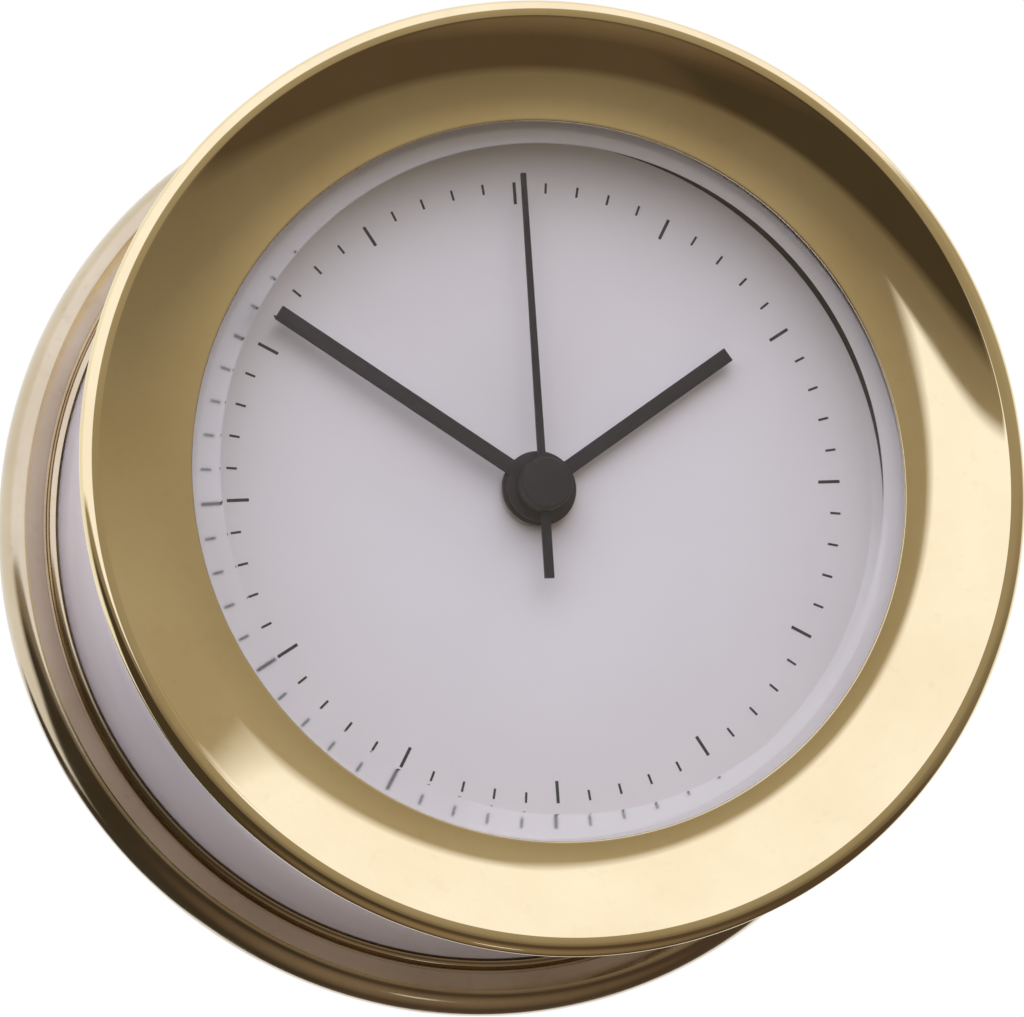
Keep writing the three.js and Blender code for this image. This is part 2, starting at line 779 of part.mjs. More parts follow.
// Stator: a flat U whose right foot surrounds the rotor, with its two ends under the coil core
function stator() {
  const barTop = coilY - coilFlangeRadius - fitGap;
  const left = coilLeft - fitGap - statorLeg;
  const right = coilRight + fitGap;
  const top = coilY + coreWidth;
  const arm = plate(polygon([
    [left, barTop - statorBar],
    [rotorAt.x, barTop - statorBar],
    [rotorAt.x, top],
    [right, top],
    [right, barTop],
    [left + statorLeg, barTop],
    [left + statorLeg, top],
    [left, top],
  ]), statorBack, statorTop);
  const eye = rod(statorRadius, statorBack, statorTop, bossSides).translate(rotorAt.x, rotorAt.y, 0);
  const hole = rod(magnetRadius + rotorAirGap, statorBack - overcut, statorTop + overcut, bossSides);
  return shaped([arm, eye], [hole.translate(rotorAt.x, rotorAt.y, 0)]);
}

// Coil pieces are drawn along z from 0, then laid along x
function layCoilPiece(name, geometry, material) {
  const mesh = place(name, geometry, material);
  mesh.rotation.y = Math.PI / 2;
  mesh.position.set(coilLeft, coilY, coilZ);
}

function coilBobbin() {
  return turnedRing([
    [coilTubeBore, 0],
    [coilFlangeRadius, 0],
    [coilFlangeRadius, coilFlange],
    [coilTubeRadius, coilFlange],
    [coilTubeRadius, coilLength - coilFlange],
    [coilFlangeRadius, coilLength - coilFlange],
    [coilFlangeRadius, coilLength],
    [coilTubeBore, coilLength],
  ], smallSides);
}

function coilWinding() {
  const back = coilFlange + runGap;
  const inner = coilTubeRadius + runGap;
  return tube(inner + coilWindingWall, inner, back, coilLength - back, smallSides);
}

function coilCore() {
  const left = coilLeft - fitGap - statorLeg;
  const right = coilRight + fitGap + statorLeg;
  return block(left, right, coilY - coreWidth / 2, coilY + coreWidth / 2, coreBack, coreBack + coreThickness);
}

// Circuit board on the right of the rear case, with the crystal lying on it
const boardRight = roomRight - fitGap;
const boardBottom = partitionTop + fitGap;
const boardBack = roomBack + fitGap;

function circuitBoard() {
  const left = boardRight - boardWidth;
  const top = boardBottom + boardHeight;
  return block(left, boardRight, boardBottom, top, boardBack, boardBack + boardThickness);
}

function placeCrystal() {
  const crystal = place('quartz_crystal', rod(crystalRadius, 0, crystalLength), steel);
  crystal.rotation.y = Math.PI / 2;
  crystal.position.set(
    boardRight - (boardWidth + crystalLength) / 2, boardBottom + boardHeight / 2,
    boardBack + boardThickness + fitGap + crystalRadius,
  );
}

// Battery cell with its contact nub to the right, between the two contact plates
function placeBattery() {
  const bodyLength = batteryLength - batteryNub;
  const cell = place('battery_cell', turned([
    [0, 0],
    [batteryRadius, 0],
    [batteryRadius, bodyLength],
    [batteryNubRadius, bodyLength],
    [batteryNubRadius, batteryLength],
    [0, batteryLength],
  ], bossSides), cellGrey);
  cell.rotation.y = Math.PI / 2;
  cell.position.set(-batteryLength / 2, batteryY, batteryZ);
}

function contact(left) {
  const half = contactWidth / 2;
  const right = left + contactThickness;
  return block(left, right, batteryY - half, batteryY + half, batteryZ - half, roomFront - fitGap);
}

place('base_flange', baseFlange(), brass);
place('back_cover', backCover(), darkSteel);
screwPlaces().forEach((at, i) => place(`cover_screw_${i + 1}`, coverScrew(), steel, at));
place('case_drum', caseDrum(), whitePaint);
place('dial_seat', dialSeat(), darkSteel);
place('dial', dial(), dialWhite);
place('bezel', bezel(), brass);
place('glass', glass(), clearGlass);
place('glass_gasket', glassGasket(), rubber);
place('glass_ring', glassRing(), brass);
placeHand('hour_hand', hourHand(), hourAngle);
placeHand('minute_hand', minuteHand(), minuteAngle);
placeHand('seconds_hand', secondsHand(), secondsAngle);
place('bush_nut', bushNut(), brass);
place('cushion_washer', cushionWasher(), rubber);
place('movement_front_case', movementFrontCase(), blackPlastic);
place('movement_rear_case', movementRearCase(), blackPlastic);
place('train_plate', trainPlate(), palePlastic);
place('rotor_pinion', rotorPinion(), palePlastic, rotorAt);
place('rotor_magnet', rotorMagnet(), darkSteel, rotorAt);
place('intermediate_wheel', intermediateWheel(), palePlastic, intermediateAt);
place('seconds_wheel', secondsWheel(), palePlastic);
place('third_wheel', thirdWheel(), palePlastic, thirdAt);
place('minute_wheel', minuteWheel(), palePlastic);
place('motion_wheel', motionWheel(), palePlastic, motionAt);
place('hour_wheel', hourWheel(), palePlastic);
place('setting_arbor', settingArbor(), palePlastic, settingAt);
place('setting_knob', settingKnob(), blackPlastic, settingAt);
place('stator', stator(), steel);
layCoilPiece('coil_bobbin', coilBobbin(), palePlastic);
layCoilPiece('coil_winding', coilWinding(), copper);
place('coil_core', coilCore(), steel);
place('circuit_board', circuitBoard(), boardGreen);
placeCrystal();
placeBattery();
place('contact_negative', contact(-batteryLength / 2 - fitGap - contactThickness), steel);
place('contact_positive', contact(batteryLength / 2 + fitGap), steel);

export default clock;
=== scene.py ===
import json
import math
import bmesh
import bpy
from mathutils import Matrix, Vector


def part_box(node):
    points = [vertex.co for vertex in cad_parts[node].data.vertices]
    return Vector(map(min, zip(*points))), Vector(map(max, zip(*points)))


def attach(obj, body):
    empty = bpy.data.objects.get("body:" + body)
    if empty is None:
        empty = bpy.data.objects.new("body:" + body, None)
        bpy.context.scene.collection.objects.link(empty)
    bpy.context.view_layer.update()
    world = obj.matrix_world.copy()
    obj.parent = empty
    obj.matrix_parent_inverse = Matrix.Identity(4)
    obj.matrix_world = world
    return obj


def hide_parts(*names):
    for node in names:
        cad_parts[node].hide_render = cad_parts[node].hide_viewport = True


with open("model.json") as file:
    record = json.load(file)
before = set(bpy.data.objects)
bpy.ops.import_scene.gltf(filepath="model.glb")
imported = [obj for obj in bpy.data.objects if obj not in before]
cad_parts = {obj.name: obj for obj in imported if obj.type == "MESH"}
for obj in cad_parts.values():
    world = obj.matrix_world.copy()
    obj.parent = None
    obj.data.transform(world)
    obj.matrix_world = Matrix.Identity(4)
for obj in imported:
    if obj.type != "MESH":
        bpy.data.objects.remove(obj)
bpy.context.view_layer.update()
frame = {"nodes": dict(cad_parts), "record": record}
scene = bpy.context.scene
scene.view_settings.view_transform = "Standard"
mm = 0.001
faceOn = Matrix.Rotation(math.radians(90), 4, "X")  # stands a flat drawing up, facing the viewer
print("frame loaded,", len(frame["nodes"]), "nodes")

# camera, at the photograph's viewing angle: in front, to the left and a little below, angles in degrees
photoCamera = {
    "place": (-0.21815, -0.91371, -0.15112), "azimuth": -13.791, "elevation": -9.383, "roll": -4.088,
    "lens": 281.25, "sensor": 36,
}


def makeCamera(p):
    data = bpy.data.cameras.new("photoCamera")
    data.sensor_fit = "HORIZONTAL"
    data.sensor_width = p["sensor"]
    data.lens = p["lens"]
    camera = bpy.data.objects.new("photoCamera", data)
    scene.collection.objects.link(camera)
    aside = Matrix.Rotation(math.radians(p["azimuth"]), 4, "Z")
    above = Matrix.Rotation(math.radians(-p["elevation"]), 4, "X")
    tilt = Matrix.Rotation(math.radians(p["roll"]), 4, "Z")
    camera.matrix_world = Matrix.Translation(p["place"]) @ aside @ faceOn @ above @ tilt
    scene.camera = camera


makeCamera(photoCamera)
print("camera set")

# node helpers for the finishes


def addNode(tree, kind, **settings):
    node = tree.nodes.new(kind)
    for name, value in settings.items():
        setattr(node, name, value)
    return node


def startFinish(name):
    finish = bpy.data.materials.new(name)
    finish.use_nodes = True
    tree = finish.node_tree
    shader = tree.nodes["Principled BSDF"]
    place = addNode(tree, "ShaderNodeTexCoord").outputs["Object"]
    return finish, tree, shader, place


def plug(tree, source, target):
    tree.links.new(source, target)


def stretched(tree, place, factors):
    node = addNode(tree, "ShaderNodeMapping")
    plug(tree, place, node.inputs["Vector"])
    node.inputs["Scale"].default_value = factors
    return node.outputs["Vector"]


def grain(tree, place, size, detail=3, rough=0.55):
    node = addNode(tree, "ShaderNodeTexNoise")
    plug(tree, place, node.inputs["Vector"])
    node.inputs["Scale"].default_value = 1 / (size * mm)
    node.inputs["Detail"].default_value = detail
    node.inputs["Roughness"].default_value = rough
    return node.outputs["Fac"]


def specks(tree, place, size):
    node = addNode(tree, "ShaderNodeTexVoronoi")
    plug(tree, place, node.inputs["Vector"])
    node.inputs["Scale"].default_value = 1 / (size * mm)
    return node.outputs["Distance"]


def axisDistance(tree, place):
    flat = addNode(tree, "ShaderNodeVectorMath", operation="MULTIPLY")
    plug(tree, place, flat.inputs[0])
    flat.inputs[1].default_value = (1, 0, 1)
    length = addNode(tree, "ShaderNodeVectorMath", operation="LENGTH")
    plug(tree, flat.outputs["Vector"], length.inputs[0])
    return length.outputs["Value"]


def alongAxis(tree, place, axis):
    node = addNode(tree, "ShaderNodeSeparateXYZ")
    plug(tree, place, node.inputs["Vector"])
    return node.outputs[axis]


def maths(tree, operation, first, second):
    node = addNode(tree, "ShaderNodeMath", operation=operation)
    for socket, value in zip(node.inputs, (first, second)):
        if isinstance(value, (int, float)):
            socket.default_value = value
        else:
            plug(tree, value, socket)
    return node.outputs["Value"]


def lineNoise(tree, value, pitch):
    node = addNode(tree, "ShaderNodeTexNoise", noise_dimensions="1D")
    plug(tree, value, node.inputs["W"])
    node.inputs["Scale"].default_value = 1 / (pitch * mm)
    node.inputs["Detail"].default_value = 2
    return node.outputs["Fac"]


# carries the range fromLow..fromHigh over to low..high, held at both ends
def spread(tree, value, fromLow, fromHigh, low, high):
    node = addNode(tree, "ShaderNodeMapRange", clamp=True)
    plug(tree, value, node.inputs["Value"])
    for name, number in zip(("From Min", "From Max", "To Min", "To Max"), (fromLow, fromHigh, low, high)):
        node.inputs[name].default_value = number
    return node.outputs["Result"]


def shades(tree, value, stops):
    node = addNode(tree, "ShaderNodeValToRGB")
    plug(tree, value, node.inputs["Fac"])
    elements = node.color_ramp.elements
    while len(elements) < len(stops):
        elements.new(0.5)
    for element, (position, colour) in zip(elements, stops):
        element.position = position
        element.color = (*colour, 1)
    return node.outputs["Color"]


def overlay(tree, amount, first, second):
    node = addNode(tree, "ShaderNodeMix", data_type="RGBA")
    for socket, value in zip((node.inputs[0], node.inputs[6], node.inputs[7]), (amount, first, second)):
        if isinstance(value, tuple):
            socket.default_value = (*value, 1)
        else:
            plug(tree, value, socket)
    return node.outputs[2]


def relief(tree, shader, height, depth, strength):
    node = addNode(tree, "ShaderNodeBump")
    plug(tree, height, node.inputs["Height"])
    node.inputs["Distance"].default_value = depth * mm
    node.inputs["Strength"].default_value = strength
    plug(tree, node.outputs["Normal"], shader.inputs["Normal"])


# gloss that wanders with a noise from one roughness to another
def unevenGloss(tree, shader, noise, low, high):
    plug(tree, spread(tree, noise, 0.3, 0.7, low, high), shader.inputs["Roughness"])


# brass: turned on a lathe and polished, with faint lathe lines, smears and a few dull spots
def brassFinish(name, light, deep, tarnish, dulling, gloss):
    finish, tree, shader, place = startFinish(name)
    shader.inputs["Metallic"].default_value = 1
    turning = maths(tree, "ADD", axisDistance(tree, place), alongAxis(tree, place, "Y"))
    lines = lineNoise(tree, turning, pitch=0.35)
    clouds = grain(tree, place, size=14, detail=4)
    colour = shades(tree, clouds, [(0.35, deep), (0.65, light)])
    spots = spread(tree, grain(tree, place, size=1.6, detail=5), 0.58, 0.78, 0, dulling)
    plug(tree, overlay(tree, spots, colour, tarnish), shader.inputs["Base Color"])
    low, high = gloss
    rough = spread(tree, lines, 0.3, 0.7, low, high)
    smear = spread(tree, grain(tree, place, size=9), 0.52, 0.75, 0, high)
    plug(tree, maths(tree, "ADD", rough, smear), shader.inputs["Roughness"])
    relief(tree, shader, lines, depth=0.002, strength=0.35)
    return finish


bezelBrass = brassFinish(
    "bezelBrass", (0.88, 0.74, 0.46), (0.83, 0.68, 0.41), (0.5, 0.37, 0.2), 0.1, (0.035, 0.055),
)
baseBrass = brassFinish(
    "baseBrass", (0.65, 0.55, 0.395), (0.58, 0.48, 0.33), (0.3, 0.22, 0.14), 0.18, (0.09, 0.15),
)


# white lacquer: satin, a little uneven in tone and gloss as sprayed paint is
def lacquerFinish():
    finish, tree, shader, place = startFinish("whiteLacquer")
    clouds = grain(tree, place, size=22, detail=4)
    colour = shades(tree, clouds, [(0.3, (0.76, 0.695, 0.765)), (0.7, (0.8, 0.735, 0.805))])
    plug(tree, colour, shader.inputs["Base Color"])
    ripple = grain(tree, place, size=2.8)
    unevenGloss(tree, shader, ripple, 0.33, 0.42)
    shader.inputs["Coat Weight"].default_value = 0.25
    shader.inputs["Coat Roughness"].default_value = 0.12
    return finish


whiteLacquer = lacquerFinish()


# dial: matt enamel with a very fine grain, with painted shade that darkens it a touch towards the rim, where
# the bezel shades it
dialLook = {"rimStart": 38.5, "rimEnd": 40.9, "rimPaintedShade": (0.66, 0.635, 0.67), "rimShadeAmount": 0.2}


def dialFinish(p):
    finish, tree, shader, place = startFinish("dialEnamel")
    clouds = grain(tree, place, size=18)
    colour = shades(tree, clouds, [(0.3, (0.88, 0.84, 0.895)), (0.7, (0.91, 0.87, 0.925))])
    # painted shade: darkens the enamel towards its rim, under the bezel
    rim = spread(tree, axisDistance(tree, place), p["rimStart"] * mm, p["rimEnd"] * mm, 0, p["rimShadeAmount"])
    plug(tree, overlay(tree, rim, colour, p["rimPaintedShade"]), shader.inputs["Base Color"])
    fine = grain(tree, place, size=0.22)
    unevenGloss(tree, shader, fine, 0.5, 0.62)
    relief(tree, shader, fine, depth=0.006, strength=0.3)
    return finish


dialEnamel = dialFinish(dialLook)


# printing ink of the ticks: dark grey, a little uneven where the screen laid it thin
def inkFinish():
    finish, tree, shader, place = startFinish("dialInk")
    blots = grain(tree, place, size=0.3)
    colour = shades(tree, blots, [(0.3, (0.02, 0.019, 0.022)), (0.75, (0.045, 0.042, 0.047))])
    plug(tree, colour, shader.inputs["Base Color"])
    unevenGloss(tree, shader, blots, 0.45, 0.6)
    return finish


dialInk = inkFinish()


# hands: matt black paint on stamped metal
def handFinish():
    finish, tree, shader, place = startFinish("handBlack")
    clouds = grain(tree, place, size=3.5, detail=4)
    colour = shades(tree, clouds, [(0.3, (0.0115, 0.0088, 0.0155)), (0.7, (0.0185, 0.0142, 0.0245))])
    plug(tree, colour, shader.inputs["Base Color"])
    shader.inputs["Specular IOR Level"].default_value = 0.4
    fine = grain(tree, place, size=0.12)
    unevenGloss(tree, shader, fine, 0.48, 0.64)
    relief(tree, shader, fine, depth=0.008, strength=0.4)
    return finish


handBlack = handFinish()


# glass: clear, with faint smears, and a bevel that was ground and polished and keeps a little haze
glassLook = {
    "tint": (0.985, 0.995, 0.992), "ior": 1.5, "smear": 0.012,
    "haze": 0.15, "hazeStart": 38.6, "hazeEnd": 39.0, "backFace": 41.8, "frontFace": 42.2,
}


def glassFinish(p):
    finish, tree, shader, place = startFinish("clearGlass")
    shader.inputs["Base Color"].default_value = (*p["tint"], 1)
    shader.inputs["Transmission Weight"].default_value = 1
    shader.inputs["IOR"].default_value = p["ior"]
    smear = spread(tree, grain(tree, place, size=12, detail=4), 0.5, 0.8, 0, p["smear"])
    onBevel = spread(tree, axisDistance(tree, place), p["hazeStart"] * mm, p["hazeEnd"] * mm, 0, p["haze"])
    inFront = spread(tree, alongAxis(tree, place, "Y"), -p["frontFace"] * mm, -p["backFace"] * mm, 1, 0)
    haze = maths(tree, "MULTIPLY", onBevel, inFront)
    plug(tree, maths(tree, "ADD", smear, haze), shader.inputs["Roughness"])
    # lamps reach the dial through the glass
    rays = addNode(tree, "ShaderNodeLightPath")
    through = maths(tree, "MAXIMUM", rays.outputs["Is Shadow Ray"], rays.outputs["Is Diffuse Ray"])
    clear = addNode(tree, "ShaderNodeBsdfTransparent")
    choose = addNode(tree, "ShaderNodeMixShader")
    plug(tree, through, choose.inputs[0])
    plug(tree, shader.outputs["BSDF"], choose.inputs[1])
    plug(tree, clear.outputs["BSDF"], choose.inputs[2])
    plug(tree, choose.outputs["Shader"], tree.nodes["Material Output"].inputs["Surface"])
    return finish


clearGlass = glassFinish(glassLook)


# rubber: dull black with a dusty bloom
def rubberFinish():
    finish, tree, shader, place = startFinish("sealRubber")
    bloom = grain(tree, place, size=2.5, detail=5)
    colour = shades(tree, bloom, [(0.4, (0.012, 0.012, 0.012)), (0.75, (0.045, 0.044, 0.043))])
    plug(tree, colour, shader.inputs["Base Color"])
    fine = grain(tree, place, size=0.25, detail=2)
    unevenGloss(tree, shader, fine, 0.7, 0.88)
    relief(tree, shader, fine, depth=0.01, strength=0.5)
    return finish


sealRubber = rubberFinish()


# dark steel: stoved black paint with a fine pebbled texture, rubbed here and there
def darkSteelFinish():
    finish, tree, shader, place = startFinish("darkSteel")
    clouds = grain(tree, place, size=8, detail=4)
    colour = shades(tree, clouds, [(0.3, (0.032, 0.03, 0.028)), (0.7, (0.05, 0.046, 0.043))])
    rubs = spread(tree, grain(tree, place, size=3, detail=6, rough=0.7), 0.66, 0.76, 0, 0.5)
    plug(tree, overlay(tree, rubs, colour, (0.13, 0.12, 0.11)), shader.inputs["Base Color"])
    pebble = specks(tree, place, size=0.45)
    plug(tree, spread(tree, pebble, 0, 0.7, 0.42, 0.58), shader.inputs["Roughness"])
    relief(tree, shader, pebble, depth=0.02, strength=0.4)
    return finish


darkSteel = darkSteelFinish()


# plain steel: nickel plated, with drawn lines along one way
def steelFinish():
    finish, tree, shader, place = startFinish("plainSteel")
    shader.inputs["Metallic"].default_value = 1
    drawn = grain(tree, stretched(tree, place, (0.06, 1, 1)), size=0.15)
    clouds = grain(tree, place, size=4, detail=4)
    colour = shades(tree, clouds, [(0.3, (0.48, 0.47, 0.46)), (0.7, (0.62, 0.61, 0.6))])
    plug(tree, colour, shader.inputs["Base Color"])
    unevenGloss(tree, shader, drawn, 0.22, 0.4)
    relief(tree, shader, drawn, depth=0.006, strength=0.4)
    return finish


plainSteel = steelFinish()


# moulded plastic: spark-textured skin
def plasticFinish(name, dark, pale, gloss, skin):
    finish, tree, shader, place = startFinish(name)
    clouds = grain(tree, place, size=7, detail=4)
    plug(tree, shades(tree, clouds, [(0.3, dark), (0.7, pale)]), shader.inputs["Base Color"])
    texture = grain(tree, place, size=skin)
    low, high = gloss
    unevenGloss(tree, shader, texture, low, high)
    relief(tree, shader, texture, depth=0.015, strength=0.45)
    return finish


casePlastic = plasticFinish("casePlastic", (0.016, 0.016, 0.018), (0.028, 0.028, 0.03), (0.4, 0.55), 0.35)
trainPlastic = plasticFinish("trainPlastic", (0.62, 0.59, 0.5), (0.72, 0.69, 0.61), (0.3, 0.42), 0.5)
magnetDark = plasticFinish("magnetDark", (0.03, 0.03, 0.032), (0.06, 0.059, 0.058), (0.5, 0.7), 0.2)


# circuit board: green lacquer over copper tracks
def boardFinish():
    finish, tree, shader, place = startFinish("boardGreen")
    tracks = addNode(tree, "ShaderNodeTexBrick")
    plug(tree, place, tracks.inputs["Vector"])
    tracks.inputs["Scale"].default_value = 240
    tracks.inputs["Mortar Size"].default_value = 0.06
    tracks.inputs["Color1"].default_value = (0.012, 0.07, 0.028, 1)
    tracks.inputs["Color2"].default_value = (0.016, 0.085, 0.034, 1)
    tracks.inputs["Mortar"].default_value = (0.05, 0.16, 0.06, 1)
    clouds = spread(tree, grain(tree, place, size=5), 0.3, 0.7, 0, 0.35)
    colour = overlay(tree, clouds, tracks.outputs["Color"], (0.01, 0.05, 0.022))
    plug(tree, colour, shader.inputs["Base Color"])
    plug(tree, spread(tree, tracks.outputs["Fac"], 0, 1, 0.35, 0.22), shader.inputs["Roughness"])
    relief(tree, shader, tracks.outputs["Fac"], depth=0.03, strength=0.5)
    return finish


boardGreen = boardFinish()


# copper wire: fine turns side by side along the coil, with painted shade darkening the gaps between turns
def copperFinish():
    finish, tree, shader, place = startFinish("coilCopper")
    shader.inputs["Metallic"].default_value = 1
    turns = addNode(tree, "ShaderNodeTexWave", bands_direction="X")
    plug(tree, place, turns.inputs["Vector"])
    turns.inputs["Scale"].default_value = 900
    turns.inputs["Distortion"].default_value = 0.6
    # painted shade: each turn goes dark at its sides, in the gaps between turns
    colour = shades(tree, turns.outputs["Fac"], [(0.1, (0.22, 0.07, 0.025)), (0.7, (0.62, 0.26, 0.1))])
    plug(tree, colour, shader.inputs["Base Color"])
    unevenGloss(tree, shader, grain(tree, place, size=1), 0.25, 0.4)
    relief(tree, shader, turns.outputs["Fac"], depth=0.05, strength=0.6)
    return finish


coilCopper = copperFinish()


# battery: printed sleeve in two colours, bare steel at its ends
cellLook = {
    "halfLength": 24.6, "sleeveStart": 0.016, "ringStart": 0.74, "sleeveEnd": 0.955,
    "steelShade": (0.6, 0.59, 0.58), "sleeveShade": (0.2, 0.215, 0.23), "ringShade": (0.56, 0.57, 0.56),
}


def cellFinish(p):
    finish, tree, shader, place = startFinish("cellSleeve")
    along = spread(tree, alongAxis(tree, place, "X"), -p["halfLength"] * mm, p["halfLength"] * mm, 0, 1)
    bands = shades(tree, along, [
        (0, p["steelShade"]), (p["sleeveStart"], p["sleeveShade"]),
        (p["ringStart"], p["ringShade"]), (p["sleeveEnd"], p["steelShade"]),
    ])
    bands.node.color_ramp.interpolation = "CONSTANT"
    scuffs = spread(tree, grain(tree, place, size=2.2, detail=5), 0.6, 0.8, 0, 0.35)
    plug(tree, overlay(tree, scuffs, bands, (0.3, 0.3, 0.3)), shader.inputs["Base Color"])
    below = maths(tree, "LESS_THAN", along, p["sleeveStart"])
    above = maths(tree, "GREATER_THAN", along, p["sleeveEnd"])
    bare = maths(tree, "ADD", below, above)
    plug(tree, spread(tree, bare, 0, 1, 0.15, 1), shader.inputs["Metallic"])
    unevenGloss(tree, shader, grain(tree, place, size=0.6), 0.24, 0.38)
    return finish


cellSleeve = cellFinish(cellLook)
print("finishes made")

# drawing helpers: a pen draws half a section as (radius, height from the wall), the lathe turns it


def onlyVerts(geom):
    return [item for item in geom if isinstance(item, bmesh.types.BMVert)]


def penDown(bm, radius, height):
    return bm.verts.new((radius * mm, -height * mm, 0))


def penLine(bm, tip, radius, height):
    end = bmesh.ops.extrude_vert_indiv(bm, verts=[tip])["verts"][0]
    end.co = (radius * mm, -height * mm, 0)
    return end


def penPath(bm, tip, points):
    for radius, height in points:
        tip = penLine(bm, tip, radius, height)
    return tip


# swings the pen round a centre; squeeze flattens the swing along the clock's axis
def penArc(bm, tip, radius, height, degrees, steps, squeeze=1.0):
    centre = Vector((radius * mm, -height * mm, 0))
    flatten = Matrix.Translation(centre) @ Matrix.Diagonal((1, squeeze, 1, 1)) @ Matrix.Translation(-centre)
    tip.co = flatten.inverted() @ tip.co
    before = set(bm.verts)
    angle = -math.radians(degrees)
    swing = bmesh.ops.spin(bm, geom=[tip], cent=centre, axis=(0, 0, 1), angle=angle, steps=steps)
    swept = [v for v in bm.verts if v not in before] + [tip]
    bmesh.ops.transform(bm, matrix=flatten, verts=swept)
    return onlyVerts(swing["geom_last"])[0]


def penClose(bm, tip, start):
    bm.edges.new((tip, start))


def softenCorners(bm, corners, offset, segments=3):
    bmesh.ops.bevel(
        bm, geom=corners, offset=offset * mm, affect="VERTICES", segments=segments, profile=0.5, material=-1,
    )


def softenEdges(bm, edges, offset, segments=2):
    bmesh.ops.bevel(
        bm, geom=edges, offset=offset * mm, affect="EDGES", segments=segments, profile=0.5, material=-1,
        clamp_overlap=True,
    )


def lathe(bm, steps=192):
    bmesh.ops.spin(
        bm, geom=bm.verts[:] + bm.edges[:], cent=(0, 0, 0), axis=(0, 1, 0),
        angle=math.tau, steps=steps, use_merge=True,
    )
    bmesh.ops.remove_doubles(bm, verts=bm.verts, dist=1e-6)
    bmesh.ops.recalc_face_normals(bm, faces=bm.faces)


# a plain turned ring with softened corners
def turnedRing(p, steps=192):
    bm = bmesh.new()
    start = penDown(bm, p["bore"], p["back"])
    tip = penPath(bm, start, [(p["radius"], p["back"]), (p["radius"], p["front"]), (p["bore"], p["front"])])
    penClose(bm, tip, start)
    softenCorners(bm, bm.verts[:], p["corner"])
    lathe(bm, steps)
    return bm


def addPiece(name, bm, finish, body, nodes=(), sharp=28):
    mesh = bpy.data.meshes.new(name)
    bm.to_mesh(mesh)
    bm.free()
    for face in mesh.polygons:
        face.use_smooth = True
    mesh.set_sharp_from_angle(angle=math.radians(sharp))
    mesh.materials.append(finish)
    piece = bpy.data.objects.new(name, mesh)
    scene.collection.objects.link(piece)
    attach(piece, body)
    if nodes:
        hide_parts(*nodes)
    return piece


# base flange: outer roll, flat band, groove, quarter-round moulding against the drum, and the ledge inside
flangeShape = {
    "radius": 56.4, "widest": 2.2, "rollWidth": 2.45, "rollRise": 4.3, "backRound": 1.0,
    "bandInner": 51.75, "bandHeight": 5.8, "groove": 0.35, "moulding": 1.0, "mouldingRise": 1.25,
    "drumSeat": 50.5, "ledgeBore": 41.3, "ledgeFront": 3.5, "ledgeBack": 2.3, "rebate": 47.3, "corner": 0.08,
}


def makeFlange(p):
    bm = bmesh.new()
    rollRadius = p["radius"] - p["rollWidth"]
    backEdge = p["radius"] - p["backRound"]
    grooveFloor = p["bandHeight"] - p["groove"]
    mouldingHeight = p["groove"] + p["mouldingRise"]
    start = penDown(bm, p["rebate"], 0)
    tip = penLine(bm, start, backEdge, 0)
    tip = penArc(bm, tip, backEdge, p["widest"], 90, 10, p["widest"] / p["backRound"])
    tip = penArc(bm, tip, rollRadius, p["widest"], 90, 22, p["rollRise"] / p["rollWidth"])
    corner = penLine(bm, tip, rollRadius, p["bandHeight"])
    bandEnd = penLine(bm, corner, p["bandInner"], p["bandHeight"])
    foot = penPath(bm, bandEnd, [(p["bandInner"], grooveFloor), (p["drumSeat"] + p["moulding"], grooveFloor)])
    tip = penArc(bm, foot, p["drumSeat"], grooveFloor, 90, 14, mouldingHeight / p["moulding"])
    seat = penLine(bm, tip, p["drumSeat"], p["ledgeFront"])
    ledge = penPath(bm, seat, [(p["ledgeBore"], p["ledgeFront"]), (p["ledgeBore"], p["ledgeBack"])])
    tip = penLine(bm, ledge, p["rebate"], p["ledgeBack"])
    penClose(bm, tip, start)
    softenCorners(bm, [start, bandEnd, ledge], p["corner"])
    lathe(bm, 224)
    return addPiece("baseFlange", bm, baseBrass, "case", ["base_flange"])


makeFlange(flangeShape)

# drum: painted tube with an inner shoulder
drumShape = {
    "radius": 50.2, "bore": 48.6, "shoulderBore": 47.6, "foot": 3.8, "shoulder": 27.3, "top": 43.45,
    "corner": 0.18,
}


def makeDrum(p):
    bm = bmesh.new()
    start = penDown(bm, p["shoulderBore"], p["foot"])
    tip = penPath(bm, start, [
        (p["radius"], p["foot"]), (p["radius"], p["top"]), (p["bore"], p["top"]),
        (p["bore"], p["shoulder"]), (p["shoulderBore"], p["shoulder"]),
    ])
    penClose(bm, tip, start)
    softenCorners(bm, bm.verts[:], p["corner"])
    lathe(bm)
    return addPiece("caseDrum", bm, whiteLacquer, "case", ["case_drum"])


makeDrum(drumShape)

# bezel: flat rim with a rounded edge, cove from its crest down to the opening, neck that slides into the drum
bezelShape = {
    "radius": 55.0, "rimWidth": 2.05, "edgeRound": 1.35, "rimBack": 1.05, "rimPlane": 47.95, "crest": 0.08,
    "opening": 41.6, "openingEdge": 45.25, "lipBack": 44.65, "collarBack": 43.75, "drum": 50.2, "neck": 48.3,
    "bore": 43.9, "neckEnd": 34.4, "corner": 0.12,
}


